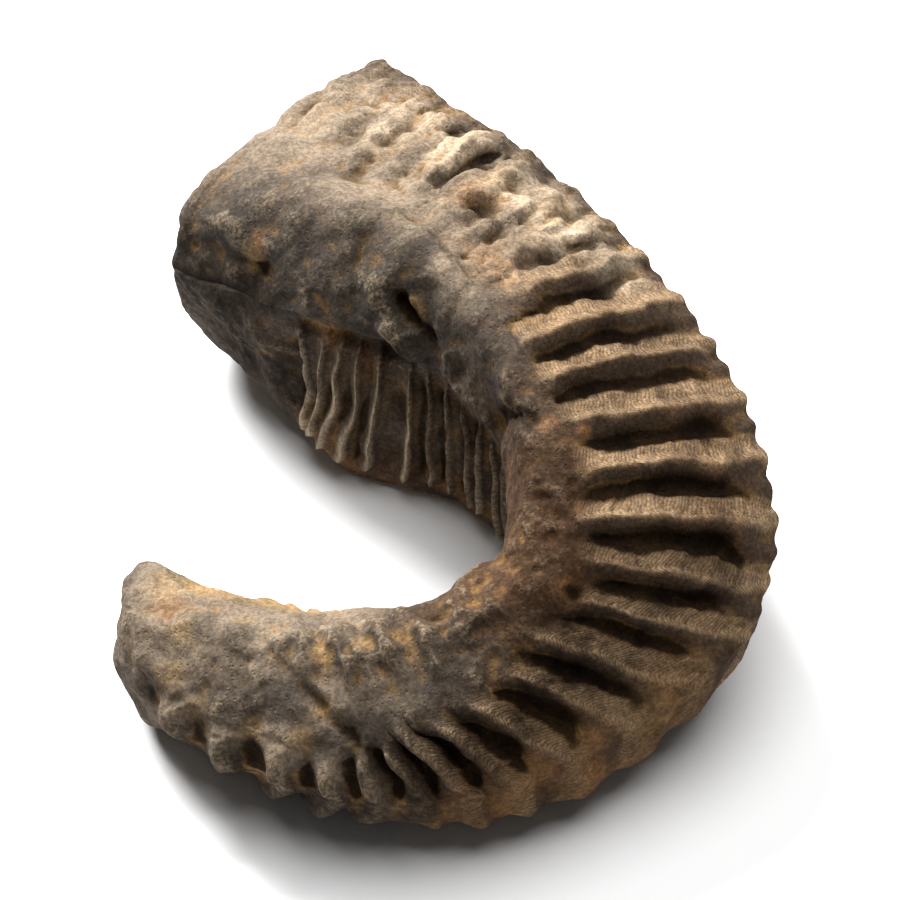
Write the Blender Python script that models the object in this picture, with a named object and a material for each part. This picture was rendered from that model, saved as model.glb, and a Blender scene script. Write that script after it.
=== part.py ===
# Fossil rastellum oyster: a ribbed, C-shaped shell turned to stone. Its two filled valves are
# closed on each other along a toothed seam, and the lower valve lies on a worn flat underside.

import bpy
import numpy as np

MM = 0.001

# Driving dimensions, in millimetres
SEAM_GAP = 0.4
SHELL_CENTRE_X = -0.38
SHELL_CENTRE_Y = 7.69
UNDERSIDE_WEAR = 1.0
BEAK_LENGTH = 3.6
TIP_LENGTH = 5.8

# Stations from the beak at the back left to the tip at the front left, in millimetres. Each row is
# inner rim x, y, z, outer rim x, y, z, crown height, where the crown starts and ends across the
# width (0 to 1), and the height of the underside's inner edge.
STATIONS = (
    (-34.5, 30.6, 19.0, -7.8, 61.4, 25.0, 28.6, 0.15, 0.58, 7.5),
    (-23.0, 20.5, 24.0, 0.5, 51.0, 27.0, 34.5, 0.22, 0.49, 4.5),
    (-13.5, 14.0, 27.0, 9.5, 43.5, 27.0, 37.0, 0.25, 0.40, 0.5),
    (-5.0, 10.0, 27.0, 17.5, 34.0, 27.0, 37.5, 0.17, 0.29, 0.0),
    (0.5, 6.0, 26.0, 25.0, 24.5, 26.0, 37.0, 0.06, 0.20, 0.0),
    (4.8, -0.8, 25.0, 31.5, 13.5, 25.0, 36.0, 0.05, 0.21, 0.0),
    (6.5, -7.5, 23.0, 36.5, 0.5, 23.0, 34.5, 0.05, 0.28, 0.0),
    (6.5, -14.5, 21.0, 38.5, -12.0, 20.0, 33.0, 0.08, 0.33, 0.0),
    (4.0, -20.0, 19.0, 35.0, -25.0, 17.0, 30.5, 0.15, 0.41, 0.0),
    (-0.5, -22.0, 17.0, 25.5, -34.0, 15.0, 28.0, 0.26, 0.54, 0.0),
    (-7.0, -21.0, 15.0, 15.0, -40.5, 13.5, 25.5, 0.37, 0.67, 0.0),
    (-13.5, -19.5, 13.0, 4.0, -44.5, 12.0, 23.5, 0.42, 0.80, 0.0),
    (-19.5, -17.5, 11.5, -6.4, -45.2, 11.0, 22.0, 0.46, 0.86, 0.0),
    (-25.5, -15.0, 10.5, -16.2, -43.1, 10.0, 21.0, 0.48, 0.89, 0.0),
    (-31.0, -12.0, 9.5, -26.0, -38.5, 9.5, 19.5, 0.48, 0.90, 0.0),
    (-34.6, -10.6, 9.6, -34.6, -31.4, 9.0, 17.6, 0.45, 0.88, 0.0),
)

# Furrows between the ribs, beak to tip: the station numbers where each one meets the inner rim,
# the crown's outer edge and the outer rim. The ribs slant, so the three numbers differ.
FURROWS = (
    (0.0, 0.0, 0.0), (0.8, 0.65, 0.4), (1.25, 1.0, 0.9), (1.7, 1.55, 1.4), (2.1, 1.95, 1.95),
    (2.6, 2.45, 2.5), (3.1, 2.95, 3.1), (3.6, 3.7, 3.65), (4.1, 4.4, 4.2), (4.7, 5.15, 4.8),
    (5.3, 5.85, 5.4), (6.0, 6.6, 6.0), (6.7, 7.35, 6.65), (7.4, 8.05, 7.3), (8.2, 8.75, 7.85),
    (8.9, 9.35, 8.4), (9.55, 10.0, 9.1), (10.2, 10.6, 9.85), (10.75, 11.15, 10.45),
    (11.25, 11.6, 10.95), (11.7, 11.95, 11.42), (12.25, 12.2, 11.88), (12.8, 12.6, 12.4),
    (13.35, 13.05, 12.92), (13.95, 13.65, 13.57), (14.5, 14.3, 14.3), (15.0, 15.0, 15.0),
)

# Rib heights along the shell, one a station, in millimetres. The inner side is nearly smooth but
# for short knobs on the front arm.
OUTER_RIB_HEIGHTS = (
    0.4, 0.5, 0.6, 0.75, 0.9, 0.95, 0.95, 0.95, 0.95, 1.0, 1.1, 1.4, 1.9, 2.2, 2.0, 1.0,
)
INNER_RIB_HEIGHTS = (0.0, 0.0, 0.1, 0.3, 0.6, 0.5, 0.2, 0.1, 0.2, 0.4, 0.8, 1.1, 1.1, 0.5, 0.2, 0.0)
LOWER_RIB_SHARE = 0.45

# How far the crown has fallen at its outer shoulder, one value a station, in millimetres
SHOULDER_DROPS = (0.8, 2.6, 2.4, 1.2, 0, 0, 0, 0.2, 0.6, 1.0, 1.5, 2.0, 2.4, 2.6, 2.6, 2.2)

# The lower valve's shape along the shell, one value a station, as shares of the width: where its
# inner wall meets the underside, and how far out its flank bulges
FOOT_SHARES = (0.04, 0.01, -0.06, -0.04, 0.02, 0.07, 0.1, 0.1, 0.1, 0.1, 0.1, 0.1, 0.1, 0.1, 0.1, 0.12)
FLANK_SHARES = (
    0.93, 0.93, 0.93, 0.93, 0.93, 0.93, 0.92, 0.91, 0.91, 0.95, 0.99, 0.98, 0.93, 0.87, 0.85, 0.85,
)

# Knobs and ledges (height above 0), pits and creases (below 0). Each row is the valve, where it runs
# from and to (station number and place across, 0 at the inner rim and 1 at the outer), then its
# radius and height in millimetres.
RELIEFS = (
    ("upper", 0.25, 0.10, 0.80, 0.14, 2.8, -1.1),
    ("upper", 0.00, 0.20, 0.55, 0.24, 2.8, 0.7),
    ("upper", 2.37, 0.13, 3.06, 0.01, 2.4, 1.0),
    ("upper", 2.72, 0.15, 3.03, 0.12, 2.2, -0.9),
    ("upper", 3.84, 0.07, 4.01, 0.02, 2.4, 1.1),
    ("upper", 4.23, 0.02, 4.42, 0.01, 2.4, 1.0),
    ("upper", 5.40, 0.13, 6.14, 0.40, 2.2, -1.2),
    ("upper", 8.40, 0.10, 9.10, 0.16, 2.6, 1.3),
    ("upper", 12.69, 0.52, 12.36, 0.53, 2.2, -0.7),
    ("upper", 14.90, 0.30, 15.00, 0.34, 3.2, 0.9),
    ("upper", 14.95, 0.66, 15.00, 0.70, 2.4, 0.9),
    ("lower", 0.60, 0.06, 0.95, 0.10, 3.4, 1.3),
    ("lower", 1.42, 0.08, 1.40, 0.26, 2.6, -1.2),
    ("lower", 1.50, 0.05, 2.90, 0.04, 2.4, -0.8),
)

# Upper valve's section: places from the inner rim to the crown and from the crown to the outer rim,
# as shares of those two runs, and the heights there as shares of the rise from the rim
INNER_RUN = 0.38
INNER_RISE = 0.56
SHOULDER_RUNS = (0.36, 0.75)
SHOULDER_RISES = (0.70, 0.33)
CROWN_SAG = 0.6
CROWN_BULGE = 0.3
CROWN_END_SAG = 0.5

# How much of the shoulder's drop is felt at the crown's start (raised), its middle and the flank
DROP_AT_START = 0.3
DROP_AT_MIDDLE = 0.25
DROP_ON_FLANK = 0.7

# Lower valve's section: shares of the foot's reach or the shell's width, and shares of the rim's
# height above the underside
FOOT_RUNS = (0.5, 0.9)
FOOT_FLARE = 0.06
FLAT_FROM = 0.38
FLAT_TO = 0.62
WALL_RISES = (0.6, 0.24)
FOOT_RISE = 0.7
FLANK_RISE = 0.42

# A rib's crest lies at this share of the way between its furrows. Ribs are sharp, and turn into
# round knobs between these two stations.
RIB_CREST = 0.54
RIB_SHARPNESS = 1.12
KNOB_STATIONS = (10.2, 12.2)

# How far the ribs carry the seam's rims outward (spread) and up (rise), as shares of their height,
# before and after the stations between which that changes
OUTER_SPREAD = (0.18, 0.35)
OUTER_RISE = (0.35, 0.70)
OUTER_TURN = (8, 12)
INNER_SPREAD = (0.5, 0.15)
INNER_RISE_UP = 0.5
INNER_TURN = (6, 9)

# Columns that a rib has, at these shares of the way from one furrow to the next
RIB_COLUMNS = (0.0, 0.2, 0.4, 0.6, 0.8)
CROWN_EDGE = 0.5
SKIN_ROWS = 15
SEAM_ROWS = 2
SEAM_TOOTH_FADE = 3
NORMAL_STEP = 0.02

# Places across the skin between which the ribs rise or fade
OUTER_RIBS_FROM = (0.50, 0.66)
KNOBS_SET_OUT = 0.18
KNOBS_SET_OUT_STATIONS = (11, 13)
FLANK_FADE = 0.35
FLANK_FADE_FROM = (0.78, 0.98)
FLANK_FADE_STATIONS = (11, 9)
INNER_KNOBS_FROM = (0.10, 0.28)
INNER_KNOBS_TO = (0.50, 0.40)
LOWER_RIBS_FROM = (0.68, 0.85)
INNER_RIM_REACH = 0.12
OUTER_RIM_REACH = 0.88

# Rounded ends: how far along the end's length each ring is, and its size against the last section
BEAK_CAP = ((0.30, 0.94), (0.62, 0.82), (0.86, 0.60), (0.98, 0.32))
TIP_CAP = ((0.25, 0.95), (0.52, 0.85), (0.78, 0.67), (0.96, 0.38))

UPPER_COLOUR = (0.15, 0.11, 0.075, 1.0)
LOWER_COLOUR = (0.10, 0.07, 0.045, 1.0)
STONE_ROUGHNESS = 0.85


def clear_scene():
    for item in list(bpy.data.objects):
        bpy.data.objects.remove(item, do_unlink=True)


def blend(before, start, end, after, share):
    # Smooth curve from start to end that heads for its neighbours on either side
    slope = (end - before) * share
    bend = (2 * before - 5 * start + 4 * end - after) * share ** 2
    twist = (3 * start - before - 3 * end + after) * share ** 3
    return 0.5 * (2 * start + slope + bend + twist)


def read_stations(place):
    # The stations' ten values, smoothly between rows, at each station number in place
    rows = np.array(STATIONS)
    padded = np.vstack((2 * rows[0] - rows[1], rows, 2 * rows[-1] - rows[-2]))
    first = np.clip(np.floor(place).astype(int), 0, len(rows) - 2)
    share = (place - first)[..., None]
    near = [padded[first + step] for step in range(4)]
    return np.moveaxis(blend(*near, share), -1, 0)


def read_profile(heights, across):
    # A cross section's control values, smoothly between them, at each place across (0 to 1)
    values = np.stack(np.broadcast_arrays(*heights, across)[:-1], -1)
    padded = np.concatenate((
        2 * values[..., :1] - values[..., 1:2],
        values,
        2 * values[..., -1:] - values[..., -2:-1],
    ), -1)
    position = across * (len(heights) - 1)
    first = np.clip(np.floor(position).astype(int), 0, len(heights) - 2)
    near = [np.take_along_axis(padded, (first + step)[..., None], -1)[..., 0] for step in range(4)]
    return blend(*near, position - first)


def base_skin(valve, place, across):
    # Smooth skin without ribs, in millimetres, from the inner rim to the outer rim
    place, across = np.broadcast_arrays(place, across)
    in_x, in_y, in_z, out_x, out_y, out_z, crown, start, end, under = read_stations(place)
    zero = np.zeros_like(in_x)
    if valve == "upper":
        drop = heights_at(SHOULDER_DROPS, place)
        flank_top = crown - drop * DROP_ON_FLANK
        width = (
            zero, start * INNER_RUN, start, (start + end) / 2, end,
            end + (1 - end) * SHOULDER_RUNS[0], end + (1 - end) * SHOULDER_RUNS[1], zero + 1,
        )
        height = (
            in_z,
            in_z + (crown - in_z) * INNER_RISE,
            crown - CROWN_SAG + drop * DROP_AT_START,
            crown + CROWN_BULGE - drop * DROP_AT_MIDDLE,
            crown - CROWN_END_SAG - drop,
            out_z + (flank_top - out_z) * SHOULDER_RISES[0],
            out_z + (crown - out_z) * SHOULDER_RISES[1],
            out_z,
        )
    else:
        foot = heights_at(FOOT_SHARES, place)
        flank = heights_at(FLANK_SHARES, place)
        width = (
            zero, foot * FOOT_RUNS[0], foot * FOOT_RUNS[1], foot + FOOT_FLARE,
            zero + FLAT_FROM, zero + FLAT_TO, flank, zero + 1,
        )
        height = (
            in_z, under + (in_z - under) * WALL_RISES[0], under + (in_z - under) * WALL_RISES[1],
            under * FOOT_RISE, zero - UNDERSIDE_WEAR, zero - UNDERSIDE_WEAR, out_z * FLANK_RISE, out_z,
        )
    share = read_profile(width, across)
    up = read_profile(height, across)
    return np.stack((in_x + (out_x - in_x) * share, in_y + (out_y - in_y) * share, up), -1)


def skin_normal(valve, place, across):
    last = len(STATIONS) - 1
    ahead = base_skin(valve, np.minimum(place + NORMAL_STEP, last), across)
    behind = base_skin(valve, np.maximum(place - NORMAL_STEP, 0), across)
    outward = base_skin(valve, place, np.minimum(across + NORMAL_STEP, 1))
    inward = base_skin(valve, place, np.maximum(across - NORMAL_STEP, 0))
    normal = np.cross(ahead - behind, outward - inward)
    if valve == "lower":
        normal = -normal
    return normal / np.linalg.norm(normal, axis=-1, keepdims=True)


def mix(start, end, share):
    return start + (end - start) * share


def smooth_step(low, high, value):
    share = np.clip((value - low) / (high - low), 0, 1)
    return share * share * (3 - 2 * share)


def rib_wave(number, place):
    # From -1 in the furrow to 1 on the crest: a sharp rib, or a round knob on the front arm
    share = number - np.floor(number)
    height = np.minimum(share / RIB_CREST, (1 - share) / (1 - RIB_CREST))
    sharp = 1 - 2 * (1 - height) ** RIB_SHARPNESS
    rounded = 2 * smooth_step(0, 1, height) - 1
    return sharp + (rounded - sharp) * smooth_step(*KNOB_STATIONS, place)


def rib_places(numbers, across):
    # Station number of each rib line at each place across: straight runs that turn at the crown
    furrows = np.array(FURROWS)
    order = np.arange(len(furrows))
    inner, edge, outer = (np.interp(numbers, order, furrows[:, k])[:, None] for k in range(3))
    near_rim = smooth_step(0, CROWN_EDGE, across)
    past_crown = (across - CROWN_EDGE) / (1 - CROWN_EDGE)
    inner_run = inner + (edge - inner) * near_rim
    return np.where(across < CROWN_EDGE, inner_run, edge + (outer - edge) * past_crown)


def heights_at(heights, place):
    return np.interp(place, np.arange(len(heights)), heights)


def rim_shift(numbers, side):
    # How far the ribs carry the seam's inner or outer rim outward and up
    furrows = np.array(FURROWS)
    column = 0 if side == "inner" else 2
    place = np.interp(numbers, np.arange(len(furrows)), furrows[:, column])
    in_x, in_y, _, out_x, out_y = read_stations(place)[:5]
    outward = np.stack((out_x - in_x, out_y - in_y, np.zeros_like(in_x)), -1)
    outward /= np.linalg.norm(outward, axis=-1, keepdims=True)
    if side == "inner":
        heights = INNER_RIB_HEIGHTS
        outward = -outward
        spread = mix(*INNER_SPREAD, smooth_step(*INNER_TURN, place))
        rise = np.full_like(place, INNER_RISE_UP)
    else:
        heights = OUTER_RIB_HEIGHTS
        turn = smooth_step(*OUTER_TURN, place)
        spread = mix(*OUTER_SPREAD, turn)
        rise = mix(*OUTER_RISE, turn)
    size = heights_at(heights, place) * rib_wave(numbers, place)
    up = np.array((0.0, 0.0, 1.0))
    return size[:, None] * (spread[:, None] * outward + rise[:, None] * up)


def rib_sizes(valve, place, across):
    # How far the ribs stand up, over the whole skin
    outer = heights_at(OUTER_RIB_HEIGHTS, place)
    inner = heights_at(INNER_RIB_HEIGHTS, place)
    if valve == "lower":
        return -LOWER_RIB_SHARE * outer * smooth_step(*LOWER_RIBS_FROM, across)
    set_out = KNOBS_SET_OUT * smooth_step(*KNOBS_SET_OUT_STATIONS, place)
    on_flank = smooth_step(*OUTER_RIBS_FROM, across - set_out)
    faded = smooth_step(*FLANK_FADE_FROM, across) * smooth_step(*FLANK_FADE_STATIONS, place)
    on_inside = smooth_step(*INNER_KNOBS_TO, across) * smooth_step(*INNER_KNOBS_FROM, across)
    return outer * on_flank * (1 - FLANK_FADE * faded) + inner * on_inside


def relief_heights(valve, points):
    # Knobs, ledges, pits and creases, each a soft ridge along its own straight run
    total = np.zeros(points.shape[:-1])
    for name, from_station, from_across, to_station, to_across, radius, height in RELIEFS:
        if name == valve:
            stations = np.array((from_station, to_station))
            ends = base_skin(valve, stations, np.array((from_across, to_across)))
            run = ends[1] - ends[0]
            along = np.clip(np.sum((points - ends[0]) * run, -1) / np.sum(run ** 2), 0, 1)
            away = points - ends[0] - along[..., None] * run
            total += height * np.exp(-np.sum(away ** 2, -1) / radius ** 2)
    return total


def ribbed_skin(valve, numbers):
    across = np.linspace(0, 1, SKIN_ROWS)[None, :]
    place = rib_places(numbers, across)
    if valve == "lower":
        rims = rib_places(numbers, np.array([[0.0, 1.0]]))
        place = rims[:, :1] + (rims[:, 1:] - rims[:, :1]) * across
    across = np.broadcast_to(across, place.shape)
    points = base_skin(valve, place, across)
    normal = skin_normal(valve, place, across)
    ribs = rib_sizes(valve, place, across) * rib_wave(numbers[:, None], place)
    to_inner = smooth_step(INNER_RIM_REACH, 0, across)
    to_outer = smooth_step(OUTER_RIM_REACH, 1, across)
    free = (1 - to_inner) * (1 - to_outer)
    shift = normal * ((ribs + relief_heights(valve, points)) * free)[..., None]
    shift = shift + to_inner[..., None] * rim_shift(numbers, "inner")[:, None, :]
    shift = shift + to_outer[..., None] * rim_shift(numbers, "outer")[:, None, :]
    return points + shift


def seam_surface(numbers):
    # The face where the valves meet: toothed at both rims, even in the middle
    share = np.linspace(0, 1, SEAM_ROWS + 2)[None, 1:-1, None]
    rims = rib_places(numbers, np.array([[0.0, 1.0]]))
    inner = base_skin("upper", rims[:, 0], 0.0)[:, None, :]
    outer = base_skin("upper", rims[:, 1], 1.0)[:, None, :]
    inner_teeth = rim_shift(numbers, "inner")[:, None, :] * (1 - share) ** SEAM_TOOTH_FADE
    outer_teeth = rim_shift(numbers, "outer")[:, None, :] * share ** SEAM_TOOTH_FADE
    return inner + (outer - inner) * share + inner_teeth + outer_teeth


def close_end(rings, end, inside, seam_middle, length, cap):
    # Rounds off an end with rings that shrink towards the seam's middle, set further out each time
    heading = end.mean(0) - inside.mean(0)
    heading[2] = 0
    heading /= np.linalg.norm(heading)
    for reach, size in cap:
        rings.append(seam_middle + (end - seam_middle) * size + heading * length * reach)


def valve_rings(valve):
    numbers = []
    for rib in range(len(FURROWS) - 1):
        numbers.extend(rib + share for share in RIB_COLUMNS)
    numbers.append(len(FURROWS) - 1)
    numbers = np.array(numbers, dtype=float)
    skin = ribbed_skin(valve, numbers)
    seam = seam_surface(numbers)[:, ::-1, :]
    body = list(np.concatenate((skin, seam), 1))
    middle = seam[:, SEAM_ROWS // 2]
    beak = []
    close_end(beak, body[0], body[2], middle[0], BEAK_LENGTH, BEAK_CAP)
    tip = []
    close_end(tip, body[-1], body[-3], middle[-1], TIP_LENGTH, TIP_CAP)
    rings = np.array(beak[::-1] + body + tip)
    rings[..., 0] -= SHELL_CENTRE_X
    rings[..., 1] -= SHELL_CENTRE_Y
    rings[..., 2] += SEAM_GAP / 2 if valve == "upper" else -SEAM_GAP / 2
    rings[..., 2] = np.maximum(rings[..., 2], 0)
    return rings * MM


def loft(name, rings, collection, colour):
    # Skins the rings in order and closes both ends with a fan of triangles
    count, size = rings.shape[:2]
    points = [tuple(point) for point in rings.reshape(-1, 3)]
    points.append(tuple(rings[0].mean(0)))
    points.append(tuple(rings[-1].mean(0)))
    faces = []
    for ring in range(count - 1):
        for corner in range(size):
            after = (corner + 1) % size
            here = ring * size
            there = here + size
            faces.append((here + corner, there + corner, there + after, here + after))
    last = (count - 1) * size
    for corner in range(size):
        after = (corner + 1) % size
        faces.append((corner, after, len(points) - 2))
        faces.append((last + after, last + corner, len(points) - 1))
    mesh = bpy.data.meshes.new(name)
    mesh.from_pydata(points, [], faces)
    if name == "lower_valve":
        mesh.flip_normals()
    mesh.update()
    mesh.shade_smooth()
    mesh.materials.append(stone(name, colour))
    item = bpy.data.objects.new(name, mesh)
    collection.objects.link(item)
    return item


def stone(name, colour):
    material = bpy.data.materials.new(name)
    material.use_nodes = True
    shader = material.node_tree.nodes["Principled BSDF"]
    shader.inputs["Base Color"].default_value = colour
    shader.inputs["Roughness"].default_value = STONE_ROUGHNESS
    shader.inputs["Metallic"].default_value = 0.0
    return material


def build():
    clear_scene()
    collection = bpy.data.collections.new("fossil_rastellum_oyster")
    bpy.context.scene.collection.children.link(collection)
    loft("upper_valve", valve_rings("upper"), collection, UPPER_COLOUR)
    loft("lower_valve", valve_rings("lower"), collection, LOWER_COLOUR)


build()
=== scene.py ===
import math
import bpy
import numpy as np
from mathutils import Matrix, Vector


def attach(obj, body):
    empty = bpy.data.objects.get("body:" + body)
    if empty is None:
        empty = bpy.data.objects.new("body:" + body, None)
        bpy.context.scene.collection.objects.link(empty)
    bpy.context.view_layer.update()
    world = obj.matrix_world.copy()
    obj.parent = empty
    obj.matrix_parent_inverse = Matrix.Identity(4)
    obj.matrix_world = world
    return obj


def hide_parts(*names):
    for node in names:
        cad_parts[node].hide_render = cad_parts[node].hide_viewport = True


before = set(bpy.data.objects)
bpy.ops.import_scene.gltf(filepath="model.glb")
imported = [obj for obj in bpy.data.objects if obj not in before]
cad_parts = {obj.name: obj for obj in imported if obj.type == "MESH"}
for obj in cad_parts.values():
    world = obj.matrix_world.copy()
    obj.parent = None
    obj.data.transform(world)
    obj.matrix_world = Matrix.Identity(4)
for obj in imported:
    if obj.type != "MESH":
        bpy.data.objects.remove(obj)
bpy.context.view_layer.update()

mm = 0.001

# The shell's form in millimetres, shared by both valves and the same as the solids'. A place on
# the shell is a station number along it and how far across it lies, from the inner rim (0) to the
# outer rim (1).
shell = {
    "shiftX": 0.38,
    "shiftY": -7.69,
    "gap": 0.03,                # the crack between the closed valves
    "wear": 1,                  # how much of the underside is worn flat
    "beakEnd": {"length": 3.6, "squareness": 0.55, "rings": 30},
    "tipEnd": {"length": 5.8, "squareness": 0.62, "rings": 28},
    # inner rim x, y, z, outer rim x, y, z, crown height, crown from, crown to, underside
    "stations": (
        (-34.5, 30.6, 19, -7.8, 61.4, 25, 28.6, 0.15, 0.58, 7.5),
        (-23, 20.5, 24, 0.5, 51, 27, 34.5, 0.22, 0.49, 4.5),
        (-13.5, 14, 27, 9.5, 43.5, 27, 37, 0.25, 0.4, 0.5),
        (-5, 10, 27, 17.5, 34, 27, 37.5, 0.17, 0.29, 0),
        (0.5, 6, 26, 25, 24.5, 26, 37, 0.06, 0.2, 0),
        (4.8, -0.8, 25, 31.5, 13.5, 25, 36, 0.05, 0.21, 0),
        (6.5, -7.5, 23, 36.5, 0.5, 23, 34.5, 0.05, 0.28, 0),
        (6.5, -14.5, 21, 38.5, -12, 20, 33, 0.08, 0.33, 0),
        (4, -20, 19, 35, -25, 17, 30.5, 0.15, 0.41, 0),
        (-0.5, -22, 17, 25.5, -34, 15, 28, 0.26, 0.54, 0),
        (-7, -21, 15, 15, -40.5, 13.5, 25.5, 0.37, 0.67, 0),
        (-13.5, -19.5, 13, 4, -44.5, 12, 23.5, 0.42, 0.8, 0),
        (-19.5, -17.5, 11.5, -6.4, -45.2, 11, 22, 0.46, 0.86, 0),
        (-25.5, -15, 10.5, -16.2, -43.1, 10, 21, 0.48, 0.89, 0),
        (-31, -12, 9.5, -26, -38.5, 9.5, 19.5, 0.48, 0.9, 0),
        (-34.6, -10.6, 9.6, -34.6, -31.4, 9, 17.6, 0.45, 0.88, 0),
    ),
    # station numbers where each furrow meets the inner rim, the crown's edge and the outer rim
    "furrows": (
        (0, 0, 0), (0.8, 0.65, 0.4), (1.25, 1, 0.9), (1.7, 1.55, 1.4), (2.1, 1.95, 1.95),
        (2.6, 2.45, 2.5), (3.1, 2.95, 3.1), (3.6, 3.7, 3.65), (4.1, 4.4, 4.2), (4.7, 5.15, 4.8),
        (5.3, 5.85, 5.4), (6, 6.6, 6), (6.7, 7.35, 6.65), (7.4, 8.05, 7.3), (8.2, 8.75, 7.85),
        (8.9, 9.35, 8.4), (9.55, 10, 9.1), (10.2, 10.6, 9.85), (10.75, 11.15, 10.45),
        (11.25, 11.6, 10.95), (11.7, 11.95, 11.42), (12.25, 12.2, 11.88), (12.8, 12.6, 12.4),
        (13.35, 13.05, 12.92), (13.95, 13.65, 13.57), (14.5, 14.3, 14.3), (15, 15, 15),
    ),
    "outerRibs": (0.4, 0.5, 0.6, 0.75, 0.9, 0.95, 0.95, 0.95, 0.95, 1, 1.1, 1.4, 1.9, 2.2, 2, 1),
    "innerRibs": (0, 0, 0.1, 0.3, 0.6, 0.5, 0.2, 0.1, 0.2, 0.4, 0.8, 1.1, 1.1, 0.5, 0.2, 0),
    "shoulderDrop": (0.8, 2.6, 2.4, 1.2, 0, 0, 0, 0.2, 0.6, 1, 1.5, 2, 2.4, 2.6, 2.6, 2.2),
    "foot": (0.04, 0.01, -0.06, -0.04, 0.02, 0.07, 0.1, 0.1, 0.1, 0.1, 0.1, 0.1, 0.1, 0.1, 0.1, 0.12),
    "flank": (
        0.93, 0.93, 0.93, 0.93, 0.93, 0.93, 0.92, 0.91, 0.91, 0.95, 0.99, 0.98, 0.93, 0.87, 0.85, 0.85,
    ),
    "crest": 0.54,              # where a rib's crest lies between its two furrows
    "crownEdge": 0.5,
    "frill": 0.4,               # small lumps between the ribs' ends
    "chevron": (                # how growth lines bend across a rib, from furrow to furrow
        (0, 0.1, 0.25, 0.36, 0.43, 0.49, 0.55, 0.6, 0.8, 1),
        (0, 0.25, 0.8, 1.2, 1.3, 1.05, 0.3, -0.3, -0.2, 0),
    ),
}

lastStation = len(shell["stations"]) - 1
furrows = np.array(shell["furrows"]).T      # inner rim, crown's edge, outer rim

# Regions along the shell, by station number: where each is absent and where it is in full
regions = {
    "battered": (4.8, 3.2),     # crumpled flank beside the beak
    "worn": (4.2, 2.8),         # where the ribs there are worn
    "roundRibs": (10.2, 12.2),
    "wideTeeth": (8, 12),
    "knobTeeth": (12, 13.2),
    "knobs": (11, 13),
    "tipRibs": (12, 13),
    "evenHollows": (11.5, 13),
    "growthLines": (12.4, 11),
    "grooves": (12.4, 11.2),
    "beakGone": (0, 1.6),
    "tip": (14.3, 15),
}


def blend(before, start, end, after, share):
    # smooth curve from start to end that heads for its neighbours
    slope = (end - before) * share
    bend = (2 * before - 5 * start + 4 * end - after) * share ** 2
    twist = (3 * start - before - 3 * end + after) * share ** 3
    return 0.5 * (2 * start + slope + bend + twist)


def readStations(place):
    rows = np.array(shell["stations"])
    padded = np.vstack((2 * rows[0] - rows[1], rows, 2 * rows[-1] - rows[-2]))
    first = np.clip(np.floor(place).astype(int), 0, len(rows) - 2)
    share = (place - first)[..., None]
    near = [padded[first + step] for step in range(4)]
    return np.moveaxis(blend(*near, share), -1, 0)


def readProfile(controls, across):
    values = np.stack(np.broadcast_arrays(*controls, across)[:-1], -1)
    values = np.concatenate((
        2 * values[..., :1] - values[..., 1:2], values, 2 * values[..., -1:] - values[..., -2:-1],
    ), -1)
    position = across * (len(controls) - 1)
    first = np.clip(np.floor(position).astype(int), 0, len(controls) - 2)
    near = [np.take_along_axis(values, (first + step)[..., None], -1)[..., 0] for step in range(4)]
    return blend(*near, position - first)


def readRow(row, number):
    return np.interp(number, np.arange(len(row)), row)


def smoothStep(low, high, value):
    share = np.clip((value - low) / (high - low), 0, 1)
    return share * share * (3 - 2 * share)


def inRegion(name, place):
    return smoothStep(*regions[name], place)


def baseSkin(valve, place, across):
    # smooth skin without ribs, from the inner rim to the outer rim
    place, across = np.broadcast_arrays(place, across)
    inX, inY, inZ, outX, outY, outZ, crown, start, end, under = readStations(place)
    zero = np.zeros_like(inX)
    if valve == "upper":
        drop = readRow(shell["shoulderDrop"], place)
        width = (
            zero, start * 0.38, start, (start + end) / 2, end,
            end + (1 - end) * 0.36, end + (1 - end) * 0.75, zero + 1,
        )
        height = (
            inZ, inZ + (crown - inZ) * 0.56, crown - 0.6 + drop * 0.3,
            crown + 0.3 - drop * 0.25, crown - 0.5 - drop,
            outZ + (crown - drop * 0.7 - outZ) * 0.7, outZ + (crown - outZ) * 0.33, outZ,
        )
    else:
        foot = readRow(shell["foot"], place)
        flank = readRow(shell["flank"], place)
        width = (zero, foot * 0.5, foot * 0.9, foot + 0.06, zero + 0.38, zero + 0.62, flank, zero + 1)
        height = (
            inZ, under + (inZ - under) * 0.6, under + (inZ - under) * 0.24, under * 0.7,
            zero - shell["wear"], zero - shell["wear"], outZ * 0.42, outZ,
        )
    share = readProfile(width, across)
    up = readProfile(height, across)
    return np.stack((inX + (outX - inX) * share, inY + (outY - inY) * share, up), -1)


def fromSpot(points, valve, place, across, radius):
    # squared distance from a place on the skin, in radii
    centre = baseSkin(valve, np.array([place]), np.array([across]))[0]
    return np.sum((points - centre) ** 2, -1) / radius ** 2


def unit(vectors):
    return vectors / np.maximum(np.linalg.norm(vectors, axis=-1, keepdims=True), 1e-9)


def skinNormal(valve, place, across):
    step = 0.02
    ahead = baseSkin(valve, np.minimum(place + step, lastStation), across)
    behind = baseSkin(valve, np.maximum(place - step, 0), across)
    outward = baseSkin(valve, place, np.minimum(across + step, 1))
    inward = baseSkin(valve, place, np.maximum(across - step, 0))
    normal = np.cross(ahead - behind, outward - inward)
    if valve == "lower":
        normal = -normal
    return unit(normal)


# Noise for the meshes, all of it from fixed seeds

def latticeValue(cellX, cellY, cellZ, seed):
    # from 0 to 1, the same for the same cell and seed
    mixed = (cellX * 374761393 + cellY * 668265263 + cellZ * 1440662683 + seed * 974634777) & 0xFFFFFFFF
    mixed = ((mixed ^ (mixed >> 13)) * 1274126177) & 0xFFFFFFFF
    return ((mixed ^ (mixed >> 16)) & 0xFFFFFF) / 0xFFFFFF


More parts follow.
